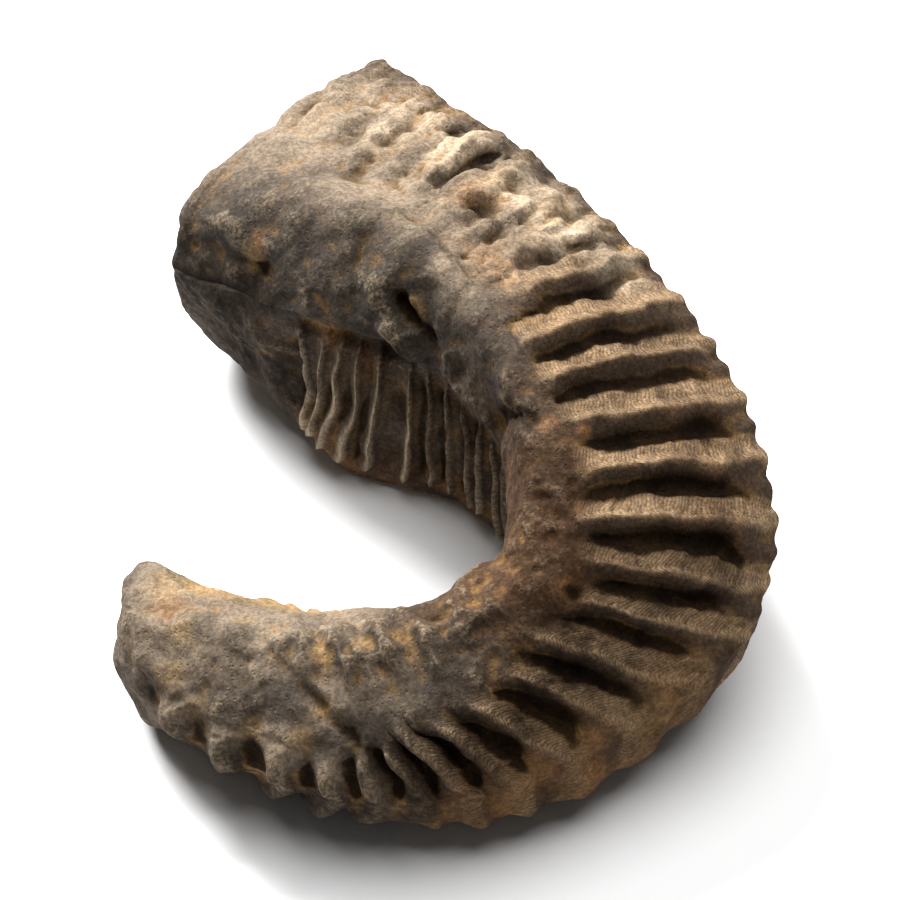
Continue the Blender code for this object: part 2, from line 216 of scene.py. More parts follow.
def softNoise(points, size, seed):
    # from -1 to 1, lumps of about this size in millimetres
    turned = points @ np.array(((0.8, 0.36, -0.48), (-0.6, 0.48, -0.64), (0.0, 0.8, 0.6))) / size
    cell = np.floor(turned).astype(np.int64)
    share = turned - cell
    share = share ** 3 * (share * (share * 6 - 15) + 10)
    total = 0
    for corner in range(8):
        step = (corner & 1, corner >> 1 & 1, corner >> 2)
        weight = 1
        for axis in range(3):
            weight = weight * (share[..., axis] if step[axis] else 1 - share[..., axis])
        corners = (cell[..., axis] + step[axis] for axis in range(3))
        total = total + weight * latticeValue(*corners, seed)
    return total * 2 - 1


def roughNoise(points, size, seed, octaves=4, keep=0.55):
    total = 0
    weight = 1
    for octave in range(octaves):
        total = total + weight * softNoise(points, size / 2 ** octave, seed + octave * 17)
        weight *= keep
    return total


def nearestSpot(points, size, seed):
    # distance to the nearest of scattered spots, as a share of their spacing
    scaled = points / size
    cell = np.floor(scaled).astype(np.int64)
    best = np.full(points.shape[:-1], 9.0)
    for code in range(27):
        near = cell + np.array((code % 3 - 1, code // 3 % 3 - 1, code // 9 - 1))
        cells = (near[..., 0], near[..., 1], near[..., 2])
        spot = near + np.stack([latticeValue(*cells, seed + axis) for axis in range(3)], -1)
        best = np.minimum(best, np.linalg.norm(scaled - spot, axis=-1))
    return best


# Ribs, numbered from furrow to furrow along the shell

def ribWave(numbers, place):
    # from -1 in the furrow to 1 on the crest; roof-shaped ribs that turn into round knobs
    share = numbers % 1
    height = np.minimum(share / shell["crest"], (1 - share) / (1 - shell["crest"]))
    sharp = 1 - 2 * (1 - height) ** 1.12
    rounded = 2 * height * height * (3 - 2 * height) - 1
    return sharp + (rounded - sharp) * inRegion("roundRibs", place)


def ribPlaces(numbers, across):
    # station numbers of these ribs at these places across
    inner, edge, outer = (readRow(row, numbers)[:, None] for row in furrows)
    nearRim = smoothStep(0, shell["crownEdge"], across)
    pastCrown = (across - shell["crownEdge"]) / (1 - shell["crownEdge"])
    innerRun = inner + (edge - inner) * nearRim
    return np.where(across < shell["crownEdge"], innerRun, edge + (outer - edge) * pastCrown)


def nearEnds(place):
    # 1, and 0 at both ends, where the ribs die out
    return smoothStep(-0.1, 0.9, place) * smoothStep(15.05, 14.5, place)


def rimShift(numbers, side):
    # how far the ribs carry a rim outward and up
    place = readRow(furrows[0 if side == "inner" else 2], numbers)
    inX, inY, inZ, outX, outY = readStations(place)[:5]
    outward = np.stack((outX - inX, outY - inY, np.zeros_like(inX)), -1)
    outward = unit(outward)
    wide, knobs = inRegion("wideTeeth", place), inRegion("knobTeeth", place)
    spread = 0.18 + 0.17 * wide + 0.15 * knobs
    rise = 0.35 + 0.35 * wide - 0.4 * knobs
    if side == "inner":
        outward = -outward
        spread = 0.5 - 0.35 * smoothStep(6, 9, place)
        rise = np.full(len(place), 0.5)
    heights = shell["innerRibs"] if side == "inner" else shell["outerRibs"]
    size = readRow(heights, place) * ribWave(numbers, place) * nearEnds(place)
    shift = size[:, None] * (spread[:, None] * outward + rise[:, None] * np.array((0.0, 0.0, 1.0)))
    if side == "outer":
        turns = 2 * numbers + 0.4
        uneven = 0.5 + 0.9 * latticeValue(np.floor(2 * turns).astype(np.int64), 0, 0, 9)
        frill = shell["frill"] * uneven * np.sin(2 * math.pi * turns) * smoothStep(11.5, 9.5, place)
        frill = frill * (0.35 + 0.65 * smoothStep(3.5, 5.0, place))
        shift = shift + frill[:, None] * (0.7 * outward + np.array((0.0, 0.0, 0.4)))
    return shift


# The upper valve: its mesh, what lies on it and its zones of colour. A zone is a station number,
# a place across, a radius in millimetres and a strength.
upperValve = {
    "columnsPerRib": 17,
    "closeRibs": (0, 0),        # ribs from here to there have closeColumns instead
    "closeColumns": 17,
    "rowEnds": ((0, 0.22, 0.42, 1), (0, 2 / 7, 4 / 7, 1)),
    "rows": 186,
    # lumps and pits: from station and across, to station and across, radius, height (below 0 for a pit)
    "reliefs": (
        (0.21, 0.1, 0.5, 0.1, 1.2, -0.6), (0.5, 0.1, 0.78, 0.1, 1.5, -1),
        (0, 0.15, 0.53, 0.18, 1.8, 0.8), (0.2, 0.06, 0.6, 0.08, 2.4, 0.4),
        (1.05, 0.02, 1.3, 0.1, 1.6, 0.5), (1.45, 0.06, 1.6, 0, 1.1, 0.7),
        (1.83, 0.23, 2.09, 0.11, 0.6, -0.5), (2.15, 0.24, 2.35, 0.1, 1.8, 0.4),
        (2.37, 0.13, 2.73, 0.04, 1.3, 0.9), (2.73, 0.04, 3.06, -0.01, 1.5, 1.5),
        (2.72, 0.12, 3.03, 0.09, 0.9, -1.5), (3.05, 0.02, 3.12, 0, 1.6, 0.9),
        (3.25, 0.1, 3.45, 0.06, 1, -0.8), (3.84, 0.07, 4.01, 0.02, 1.7, 1.2),
        (4.23, 0.02, 4.42, 0.01, 1.6, 1.1), (4.7, 0.03, 4.85, 0.01, 1.3, 0.8),
        (5.4, 0.13, 5.8, 0.24, 1, -1.3), (5.8, 0.24, 6.14, 0.36, 0.8, -0.7),
        (5.2, 0.06, 5.6, 0.2, 1.5, -0.9), (8.4, 0.1, 9.1, 0.16, 2.2, 1.4),
        (7.9, 0.02, 8.05, 0.08, 2, -0.6), (7.47, 0.34, 7.78, 0.42, 1.2, -0.9),
        (8.75, 0.55, 8.8, 0.56, 1.4, -0.8), (9.08, 0.82, 9.1, 0.84, 0.8, -0.8),
        (10.25, 0.42, 10.35, 0.44, 1.2, -0.8), (7.43, 0.83, 7.48, 0.9, 1, -0.9),
        (3.69, 0.64, 3.72, 0.65, 1.4, 0.35), (2.24, 0.69, 2.48, 0.77, 0.7, 0.5),
        (2.87, 0.66, 3.24, 0.82, 0.8, 0.5), (12.97, 0.37, 12.77, 0.45, 0.8, -0.5),
        (12.77, 0.45, 12.54, 0.51, 0.8, -0.7), (12.54, 0.51, 12.3, 0.54, 0.8, -0.9),
        (12.3, 0.54, 12.3, 0.66, 0.8, -0.7), (12.3, 0.66, 12.44, 0.78, 0.8, -0.6),
        (14.75, 0.14, 15, 0.14, 2.8, 0.4), (14.7, 0.31, 15, 0.31, 1.8, -0.6),
        (14.85, 0.52, 15, 0.52, 2.6, 0.8),
        # lumps on the front arm's inner side, each with a hollow beside it
        (12.66, 0.3, 12.64, 0.38, 1.9, 1.1), (12.95, 0.3, 12.9, 0.36, 1.4, -0.4),
        (11.91, 0.27, 11.96, 0.38, 2.1, 1.4), (12.26, 0.26, 12.3, 0.4, 1.5, -0.5),
        (11.29, 0.27, 11.4, 0.36, 2, 1.3), (11.6, 0.26, 11.68, 0.38, 1.4, -0.5),
        (10.54, 0.22, 10.76, 0.34, 2, 1.2), (10.9, 0.22, 11.04, 0.36, 1.4, -0.5),
        (9.8, 0.24, 10.03, 0.34, 1.8, 0.9), (10.18, 0.22, 10.32, 0.34, 1.3, -0.4),
        (14.58, 0.82, 14.58, 0.88, 2.4, 1.3), (13.92, 0.82, 13.92, 0.88, 2.6, 1.5),
        (13.22, 0.8, 13.24, 0.88, 2.7, 1.6), (12.68, 0.83, 12.68, 0.9, 2.2, 1.2),
        (12.16, 0.9, 12.16, 0.94, 2, 0.9), (12.56, 0.45, 12.38, 0.49, 1.4, 0.5),
        (14.07, 0.33, 14.06, 0.35, 1.6, 0.5), (13.46, 0.33, 13.45, 0.35, 1.5, 0.5),
        (13.55, 0.55, 13.35, 0.6, 2.6, -0.5),
    ),
    # places where the ribs are worn away: station number, across, radius
    "smooth": ((3.3, 0.6, 4.6), (2.2, 0.56, 2.6)),
    # chalky pale zones: partly the stone's own pale patches, partly painted light on the outer flank
    "chalkAndLit": (
        (0.9, 0.78, 6, 0.6), (1.7, 0.8, 6, 0.8), (2.5, 0.82, 6, 0.9), (3.3, 0.84, 5.5, 0.8),
        (4, 0.86, 4.5, 0.5), (2.97, 0.27, 1.6, 0.6), (2.3, 0.3, 1.8, 0.5), (3.7, 0.64, 1.5, 0.8),
        (12.7, 0.4, 1.2, 0.4), (11.9, 0.24, 1.3, 0.4), (11.3, 0.24, 1.3, 0.4), (13.4, 0.62, 2.5, 0.4),
    ),
    # yellow ochre zones
    "gold": (
        (10.3, 0.03, 4, 0.6), (11.1, 0.04, 5, 0.9), (12, 0.05, 5, 1), (12.9, 0.07, 5, 1),
        (13.7, 0.1, 4.5, 0.9), (12.28, 0.34, 1.6, 0.7), (11.64, 0.32, 1.5, 0.7), (10.98, 0.3, 1.5, 0.6),
        (12.6, 0.5, 1.2, 0.7), (12.3, 0.62, 1, 0.6), (14.5, 0.4, 2, 0.5), (0.75, 0.11, 1.6, 1),
        (2.95, 0.12, 1.6, 1), (14.3, 0.68, 1.6, 0.5), (13.6, 0.68, 1.6, 0.5), (9.2, 0.98, 4, 0.5),
        (3, 0.85, 3, 0.4), (2.3, 0.8, 2.5, 0.4), (14.8, 0.22, 3, 0.6), (14.7, 0.55, 2, 0.5),
        (13, 0.62, 1.6, 0.5), (14.1, 0.14, 2.5, 0.6),
    ),
    # darker, greyer zones: partly grey stone, partly painted shade on faces turned from the light
    "greyAndShade": (
        (0.5, 0.08, 8, 1), (1.3, 0.1, 8, 1), (2.2, 0.1, 7.5, 1), (3, 0.08, 5.5, 1), (1.9, 0.24, 5, 0.9),
        (2.6, 0.18, 5, 0.9), (3.8, 0.12, 4, 0.8), (4.8, 0.25, 5, 0.6), (6, 0.35, 4, 0.5),
        (10.6, 0.45, 4.5, 0.6), (11.4, 0.55, 5.5, 0.4), (12.3, 0.55, 6, 0.25), (13.1, 0.6, 6, 0.3),
        (13.8, 0.66, 6.5, 0.4), (14.4, 0.75, 5, 0.4), (12, 0.34, 2.2, 0.6), (12.65, 0.34, 2, 0.6),
        (11.35, 0.32, 2.2, 0.6), (14.16, 0.33, 2.4, 0.9), (13.45, 0.31, 2.2, 1),
    ),
    # rust zones
    "rust": (
        (3.4, 0.66, 5.5, 0.8), (2.4, 0.72, 3.5, 0.7), (8.8, 0.55, 2, 1), (8.9, 0.97, 5.5, 0.7),
        (9.8, 0.97, 4.5, 0.6), (10.6, 0.98, 3.5, 0.6), (0.75, 0.14, 1.8, 1), (2.95, 0.12, 1.8, 1),
        (7.4, 0.85, 2.5, 0.8), (11.2, 0.02, 4, 0.6), (12.6, 0.03, 4, 0.6), (6.2, 0.4, 1.3, 0.8),
        (13.6, 0.06, 3.5, 0.5), (14.7, 0.3, 2.2, 0.6), (7.04, 0.53, 0.9, 1), (6.36, 0.56, 1, 1),
        (7.55, 0.5, 0.8, 1), (8.5, 0.6, 0.8, 1), (8.9, 0.3, 0.9, 0.9), (9.4, 0.34, 0.9, 0.9),
    ),
    # painted shade: deep brown zones on undersides and on faces turned from the light
    "shadowed": (
        (8.6, 0.75, 6, 0.7), (9.4, 0.7, 6, 0.9), (10.2, 0.72, 6, 1), (11, 0.76, 6, 1),
        (11.8, 0.82, 5, 0.9), (7.6, 0.8, 6, 0.5), (5.9, 0.25, 3, 1), (7, 0.35, 4, 0.4),
        (0, 0.04, 5.5, 1), (0.4, 0.04, 4.5, 1), (0.8, 0.03, 4.5, 1), (15, 0.76, 2.5, 0.7),
        *((station, 0.98, 3.5, 0.9) for station in (11.6, 12.3, 13, 13.7, 14.4)),
    ),
    # warmer, lighter zones: partly the stone's own cream tone, partly painted light on faces turned to the
    # lamp
    "warmAndLit": (
        (0.2, 0.6, 13, 0.9), (1.6, 0.55, 10, 0.8), (3.2, 0.66, 7, 0.9), (3.4, 0.35, 5, 0.5),
        (11.5, 0.15, 7, 0.7), (13, 0.25, 8, 0.7), (14.6, 0.4, 8, 0.6), (14.53, 0.76, 2.4, 0.8),
        (13.91, 0.77, 2.4, 0.8), (13.22, 0.75, 2.6, 0.8), (12.67, 0.79, 2.2, 0.8),
        (12.16, 0.86, 2, 0.7), (3, 0.8, 8, 0.9), (4, 0.85, 5, 0.5), (14.95, 0.55, 3, 0.7),
        (12.4, 0.48, 4, 0.5), (11.6, 0.48, 3.5, 0.4), (14.9, 0.42, 3, 0.7), (14.9, 0.2, 4.5, 1),
        (14.3, 0.2, 3, 0.7),
    ),
}

# The lower valve, given in the same way
lowerValve = {
    "columnsPerRib": 13,
    "closeRibs": (0, 10),       # the ribs whose inner side carries the blades
    "closeColumns": 32,
    "rowEnds": ((0, 0.46, 0.56, 1), (0, 3 / 7, 5 / 7, 1)),
    "rows": 156,
    "reliefs": (
        (0.28, 0.1, 0.7, 0.14, 2.8, 0.7), (0.6, 0.06, 0.95, 0.1, 3.4, 1),
        (1.42, 0.1, 1.4, 0.3, 2, -1.1), (0.2, 0.03, 0.45, 0.02, 2.6, 0.6),
        (1.55, 0.03, 2.1, 0.02, 1, -1), (2.1, 0.03, 2.9, 0.02, 1.3, -1.5),
        (8.25, 0.03, 8.35, 0.1, 2.4, 2.2),
    ),
    # blades on the inner wall: station number at the top and at the foot
    "blades": (
        (1.5, 1.62), (1.84, 1.68), (2.07, 1.86), (2.31, 2.12), (2.56, 2.48), (3.07, 3.05), (3.43, 3.54),
        (3.85, 3.92), (4.22, 4.34), (4.62, 4.52), (5.05, 5), (5.5, 5.45), (6, 5.95), (6.5, 6.5),
        (7.05, 7), (7.6, 7.6), (8.2, 8.15), (8.8, 8.8),
    ),
    "smooth": (),
    "chalkAndLit": (),
    "gold": ((2.2, 0.1, 3, 0.4), (3, 0.12, 3, 0.4), (3.8, 0.3, 3, 0.3)),
    "greyAndShade": ((0.3, 0.1, 9, 0.3), (0.9, 0.2, 8, 0.3)),
    "rust": (
        (2, 0.34, 4.5, 0.8), (3, 0.34, 4.5, 1), (4, 0.32, 4.5, 1), (1.6, 0.34, 3, 0.6),
        (1.9, 0.04, 2.5, 0.9), (2.4, 0.06, 2, 0.9), (9, 0.93, 6, 0.8), (10, 0.93, 6, 0.8),
        (11, 0.93, 6, 0.6),
    ),
    "shadowed": (
        (0.3, 0.1, 8, 1), (0.8, 0.2, 9, 1), (1.15, 0.28, 6, 0.9), (4.6, 0.1, 4, 0.6),
        (5.8, 0.2, 7, 0.8), (7.5, 0.2, 8, 0.6), (12.4, 0.95, 4, 0.7), (13.4, 0.95, 4, 0.7),
        (11.6, 0.95, 4, 0.6),
    ),
    "warmAndLit": ((2, 0.18, 5, 0.35), (2.8, 0.18, 6, 0.4), (3.7, 0.18, 6, 0.4), (14.5, 0.9, 8, 0.3)),
    "bladeHeight": 2.2,         # millimetres
    "bladeWidth": 0.055,        # in station numbers
}

# The worn surface of both valves, in millimetres
surface = {
    "ledgeSpacing": 1.6,
    "ledgeHeight": 0.16,
    "scaleSpacing": 4.3,
    "scaleHeight": 0.26,
    "furrowDepth": 1.0,
    "lumpSize": 5.0,
    "lumpHeight": 0.3,
    "grainSize": 1.5,
    "grainHeight": 0.11,
    "foldSizes": (3.6, 1.9),    # the crumpled flank beside the beak
    "foldHeights": (2.0, 1.2),
    "pitSpacing": 2.6,
    "pitDepth": 0.28,
    "driftSize": 6.0,           # how the whole shell strays from its even form
    "drift": 0.22,
    "tipDrift": 0.55,
    "flankDrift": 0.18,
    "footRounding": 0.25,
}
closeReach, wideReach = 5, 14   # grid steps over which hollows are found


def boxBlur(values, reach):
    # mean over a square of the grid
    span = 2 * reach + 1
    for axis in (0, 1):
        padding = [(0, 0)] * values.ndim
        padding[axis] = (reach + 1, reach)
        sums = np.cumsum(np.pad(values, padding, mode="edge"), axis)
        order = np.arange(values.shape[axis])
        values = (np.take(sums, order + span, axis) - np.take(sums, order, axis)) / span
    return values


def fromEdges(rows):
    # number of rows to the nearer rim
    order = np.arange(rows)
    return np.minimum(order, rows - 1 - order)[None, :]


def gridNormal(points):
    along = np.gradient(points, axis=0)
    across = np.gradient(points, axis=1)
    return unit(np.cross(along, across))


def skinGrid(valve, settings):
    # the ribbed skin, with the values that the fine relief and the colours need
    ribs = len(shell["furrows"]) - 1
    counts = [settings["columnsPerRib"]] * ribs
    for rib in range(*settings["closeRibs"]):
        counts[rib] = settings["closeColumns"]
    numbers = [rib + np.arange(count) / count for rib, count in enumerate(counts)]
    numbers = np.concatenate(numbers + [[ribs]])
    across = np.interp(np.linspace(0, 1, settings["rows"]), *settings["rowEnds"])[None, :]
    if valve == "upper":
        place = ribPlaces(numbers, across)
    else:
        rims = ribPlaces(numbers, np.array([[0.0, 1.0]]))
        place = rims[:, :1] + (rims[:, 1:] - rims[:, :1]) * across
    across = np.broadcast_to(across, place.shape)
    points = baseSkin(valve, place, across)
    normal = skinNormal(valve, place, across)
    atRim = np.maximum(smoothStep(0.06, 0.0, across), smoothStep(0.95, 1.0, across))
    bent = numbers[:, None] + 0.09 * roughNoise(points, 7.0, 3, 3) * (1 - atRim)
    wave = ribWave(bent, place)
    share = bent % 1
    # the rib's side towards the light, which the material paints tan as painted light
    sunSide = smoothStep(0.03, 0.12, share) * smoothStep(0.64, 0.5, share)
    chevron = np.interp(share, *shell["chevron"])
    single = latticeValue(np.floor(bent).astype(np.int64), 0, 0, 5)
    worn = inRegion("worn", place)
    patchy = np.clip(0.75 + 1.1 * softNoise(points, 4.5, 29), 0.0, 1.7)
    smoothed = np.ones_like(place)
    for spot in settings["smooth"]:
        smoothed *= 1 - 0.9 * np.exp(-fromSpot(points, valve, *spot))
    outer = readRow(shell["outerRibs"], place) * (0.9 + 0.2 * single)
    outer = outer * (1 + worn * (0.15 + 0.8 * (patchy - 1)))
    inner = readRow(shell["innerRibs"], place)
    if valve == "upper":
        start = 0.5 + 0.18 * inRegion("knobs", place) + 0.1 * (single - 0.5)
        start = start - 0.08 * smoothStep(4, 6, place) * smoothStep(9, 7.5, place)
        onFlank = smoothStep(start, start + 0.16 + 0.1 * inRegion("tipRibs", place), across)
        taper = smoothStep(start + 0.03, start + 0.3, across) * (1 - 0.7 * worn)
        fading = 1 - 0.45 * smoothStep(0.76, 0.96, across) * smoothStep(11, 9, place)
        onInside = 0.3 * smoothStep(0.5, 0.4, across) * smoothStep(0.1, 0.28, across)
        fading = fading * (1 - 0.35 * smoothStep(0.88, 1.0, across) * inRegion("tipRibs", place))
        size = (outer * onFlank * fading + inner * onInside) * smoothed
    else:
        onFlank = smoothStep(0.68, 0.85, across)
        taper = onFlank
        onInside = smoothStep(0.44, 0.38, across)
        knobs = inRegion("knobs", place) * smoothStep(14.9, 14.4, place)
        size = outer * onFlank * (1.3 * knobs - 0.45) - 0.25 * inner * onInside
        size = size * inRegion("beakGone", place)
    toInner = smoothStep(0.12, 0.0, across)[..., None]
    toOuter = smoothStep(0.88, 1.0, across)[..., None]
    knobby = inRegion("evenHollows", place)
    wave = wave * np.where(wave < 0, 1 - 0.7 * knobby, 1 - 0.25 * knobby)
    relief = normal * (size * wave * nearEnds(place))[..., None] * (1 - toInner) * (1 - toOuter)
    relief = relief + toInner * rimShift(numbers, "inner")[:, None, :]
    relief = relief + toOuter * rimShift(numbers, "outer")[:, None, :]
    warp = np.stack([softNoise(points, 1.6, 33 + axis) for axis in range(3)], -1)
    sunk = np.zeros_like(place)
    for placeFrom, acrossFrom, placeTo, acrossTo, radius, height in settings["reliefs"]:
        ends = np.array((placeFrom, placeTo)), np.array((acrossFrom, acrossTo))
        start, end = baseSkin(valve, *ends)
        run = end - start
        along = np.clip(np.sum((points - start) * run, -1) / max(np.sum(run ** 2), 1e-6), 0, 1)
        away = points - start - along[..., None] * run + 0.4 * radius * warp
        reach = np.exp(-np.sum(away ** 2, -1) / radius ** 2)
        if height > 0:
            relief = relief + normal * (height * reach)[..., None]
        else:
            sunk = np.minimum(sunk, height * reach)
    relief = relief + normal * sunk[..., None]
    steps = np.linalg.norm(np.diff(points, axis=1), axis=-1)
    fromRim = np.cumsum(steps[:, ::-1], 1)[:, ::-1]
    fromRim = np.concatenate((fromRim, np.zeros((len(numbers), 1))), 1)
    lined = onFlank * inRegion("growthLines", place) * (1 - 0.6 * worn)
    past = (share + 0.57) % 1 - 0.5     # from the furrow's lowest line
    # the furrow mask: a groove in the relief, and painted shade in the material
    furrow = np.exp(-(past / np.where(past < 0, 0.08 + 0.14 * taper, 0.05 + 0.02 * taper)) ** 2)
    furrow = furrow * smoothStep(0.96, 0.82, across) * (0.8 + 0.6 * softNoise(points, 8.0, 37))
    furrow = furrow * inRegion("grooves", place) * smoothed ** 2 * nearEnds(place)
    values = {
        "place": place, "across": across, "onFlank": onFlank, "lined": lined,
        "growth": fromRim - 1.2 * chevron * onFlank, "sunSide": sunSide,
        "furrow": np.clip(furrow, 0, 1.2) * taper,
    }
    return points + relief, numbers, values


def seamGrid(numbers):
    # the hidden face where the valves meet
    share = np.array((0.01, 0.05, 0.3, 0.7, 0.95, 0.99))[None, :, None]
    rims = ribPlaces(numbers, np.array([[0.0, 1.0]]))
    inner = baseSkin("upper", rims[:, 0], 0.0)[:, None, :]
    outer = baseSkin("upper", rims[:, 1], 1.0)[:, None, :]
    innerTeeth = rimShift(numbers, "inner")[:, None, :] * (1 - share) ** 3
    outerTeeth = rimShift(numbers, "outer")[:, None, :] * share ** 3
    return inner + (outer - inner) * share + innerTeeth + outerTeeth


def endHeading(last, before):
    # which way the shell points at an end, the same for both valves
    place = np.array((last, before))
    middle = (baseSkin("upper", place, np.zeros(2)) + baseSkin("upper", place, np.ones(2))) / 2
    heading = middle[0] - middle[1]
    heading[2] = 0
    return heading / np.linalg.norm(heading)


def roundEnd(end, rows, heading, middle, length, squareness, rings):
    # rings that close an end, from its last section to a point; they turn oval as they shrink
    skin = end[:rows]
    centre = (skin[0] + skin[-1]) / 2
    depth = skin[np.abs(skin[:, 2] - centre[2]).argmax(), 2] - centre[2]
    along = np.concatenate(([0], np.cumsum(np.linalg.norm(np.diff(skin, axis=0), axis=-1))))
    angle = math.pi * (along / along[-1])[:, None]
    oval = end.copy()
    oval[:rows] = centre - np.cos(angle) * (skin[-1] - skin[0]) / 2
    oval[:rows, 2:] += np.sin(angle) * depth
    closing = []
    for turn in np.linspace(0, math.pi / 2, rings + 1)[1:]:
        reach = math.sin(turn) ** 1.2
        size = max(math.cos(turn), 0.0) ** squareness
        shape = end + (oval - end) * smoothStep(0.0, 1.0, 1 - size)
        closing.append(middle + (shape - middle) * max(size, 0.012) + heading * length * reach)
    return closing


def fineRelief(valve, points, values):
    # how far out the worn stone stands, in millimetres
    place, flank = values["place"], values["onFlank"]
    ledge = values["growth"] / surface["ledgeSpacing"] + 0.4 * softNoise(points, 3.0, 41)
    ledge = 1 - ledge % 1
    coarse = values["growth"] / surface["scaleSpacing"] + 0.6 * softNoise(points, 6.0, 43)
    coarse = 1 - coarse % 1
    scales = surface["ledgeHeight"] * (ledge ** 1.5 - 0.4) + surface["scaleHeight"] * (coarse ** 2.2 - 0.3)
    uneven = 0.5 + 0.5 * smoothStep(-0.6, 0.4, softNoise(points, 7.0, 47))
    scales = scales * values["lined"] * uneven
    scales = scales * (0.25 + 0.75 * values["sunSide"]) * 0.8
    groove = -surface["furrowDepth"] * values["furrow"]
    lumps = surface["lumpHeight"] * roughNoise(points, surface["lumpSize"], 11, 3)
    lumps = lumps + surface["grainHeight"] * roughNoise(points, surface["grainSize"], 13, 2, 0.6)
    if valve == "upper":
        battered = inRegion("battered", place) * flank
        foldSize, smallSize = surface["foldSizes"]
        foldHeight, smallHeight = surface["foldHeights"]
        folds = foldHeight * np.abs(softNoise(points, foldSize, 61))
        folds = folds + smallHeight * np.abs(softNoise(points, smallSize, 67)) - 0.8
        lumps = lumps + folds * battered + 0.3 * softNoise(points, 5.5, 69) * battered
        lumps = lumps + 0.25 * softNoise(points, 3.0, 63) * (1 - flank)
    spots = nearestSpot(points, surface["pitSpacing"], 71)
    pits = -surface["pitDepth"] * smoothStep(0.34, 0.1, spots)
    pits = pits * smoothStep(0.0, 0.5, softNoise(points, 9.0, 73))
    return lumps * (1 - 0.45 * flank) + scales + groove + pits * (1 - 0.6 * flank)


def bladeRelief(points, values):
    # thin upright blades on the inner wall: their relief, the blades and the wall
    place, across = values["place"], values["across"]
    down = np.clip((across - 0.02) / 0.36, 0, 1)
    wander = 0.03 * softNoise(points, 5.0, 23)
    height = np.zeros_like(place)
    width = lowerValve["bladeWidth"] * (0.8 + 1.1 * down ** 2)
    for top, foot in lowerValve["blades"]:
        bow = 0.07 * np.sin(math.pi * down) - 0.16 * down ** 4
        line = top + (foot - top) * down + bow + 0.015 * np.sin(down * 11 + top * 7) + wander
        away = place - line
        slope = np.where(away > 0, width * 0.55, width * 1.5)
        blade = 0.6 * np.exp(-np.abs(away / slope) ** 1.3) + 0.4 * np.exp(-(away / 0.13) ** 2)
        height = np.maximum(height, blade * (0.75 + 0.35 * down))
    onWall = smoothStep(0.01, 0.07, across) * smoothStep(0.37, 0.31, across)
    onWall = onWall * smoothStep(1.38, 1.46, place)
    return lowerValve["bladeHeight"] * (height - 0.35) * onWall, height * onWall, onWall


def makeValve(name, valve, settings):
    skin, numbers, values = skinGrid(valve, settings)
    seam = seamGrid(numbers)[:, ::-1, :]
    rows = skin.shape[1]
    body = np.concatenate((skin, seam), 1)
    middle = (seam[:, 2] + seam[:, 3]) / 2
    beak = roundEnd(body[0], rows, endHeading(0, 0.35), middle[0], **shell["beakEnd"])
    tipMiddle = middle[-1] + 0.08 * (seam[-1, 0] - seam[-1, -1])
    tip = roundEnd(body[-1], rows, endHeading(15, 14.7), tipMiddle, **shell["tipEnd"])
    rings = np.array(beak[::-1] + list(body) + tip)
    for key, value in values.items():
        values[key] = np.pad(value, ((len(beak), len(tip)), (0, 0)), mode="edge")
    outside = rings[:, :rows]
    normal = gridNormal(outside)
    if valve == "lower":
        normal = -normal
    rimFade = smoothStep(0, 5, fromEdges(rows))
    height = fineRelief(valve, outside, values)
    blades = np.zeros_like(height)
    if valve == "lower":
        wall, blades, onWall = bladeRelief(outside, values)
        height = height * (1 - 0.5 * onWall) + wall
    drift = [roughNoise(rings, surface["driftSize"], 90 + axis, 2) for axis in range(3)]
    ending = inRegion("tip", values["place"][:, :1])[..., None]
    battered = smoothStep(5.0, 3.5, values["place"][:, :1])[..., None]
    straying = surface["drift"] + surface["tipDrift"] * ending + surface["flankDrift"] * battered
    moved = rings + straying * np.stack(drift, -1)
    moved[:, :rows] += normal * (height * rimFade)[..., None]
    hollow = boxBlur(moved[:, :rows], closeReach) - moved[:, :rows]
    cavity = np.sum(hollow * normal, -1) * rimFade
    wide = boxBlur(moved[:, :rows], wideReach) - moved[:, :rows]
    cavityWide = np.sum(wide * normal, -1) * smoothStep(2, 15, fromEdges(rows))
    moved[..., 0] += shell["shiftX"]
    moved[..., 1] += shell["shiftY"]
    moved[..., 2] += shell["gap"] / 2 if valve == "upper" else -shell["gap"] / 2
    rounding = surface["footRounding"]
    foot = rounding * np.exp((moved[..., 2] - rounding) / rounding)
    moved[..., 2] = np.maximum(np.where(moved[..., 2] < rounding, foot, moved[..., 2]), 0.0)
    zones = {}
    for kind in zonePaint:
        zones[kind] = np.zeros_like(cavity)
        for owner, spots in (("upper", upperValve[kind]), ("lower", lowerValve[kind])):
            for *spot, strength in spots:
                spread = fromSpot(outside, owner, *spot)
                zones[kind] = np.maximum(zones[kind], strength * np.exp(-spread ** 2))
    return meshFromRings(name, moved * mm, rows, valve, {
        "flank": values["lined"], "growth": values["growth"], "sunSide": values["sunSide"],
        "furrow": values["furrow"], "cavity": cavity, "cavityWide": cavityWide, "blades": blades,
        "place": values["place"], **zones,
    })


def addObject(name, data):
    added = bpy.data.objects.new(name, data)
    bpy.context.scene.collection.objects.link(added)
    return added


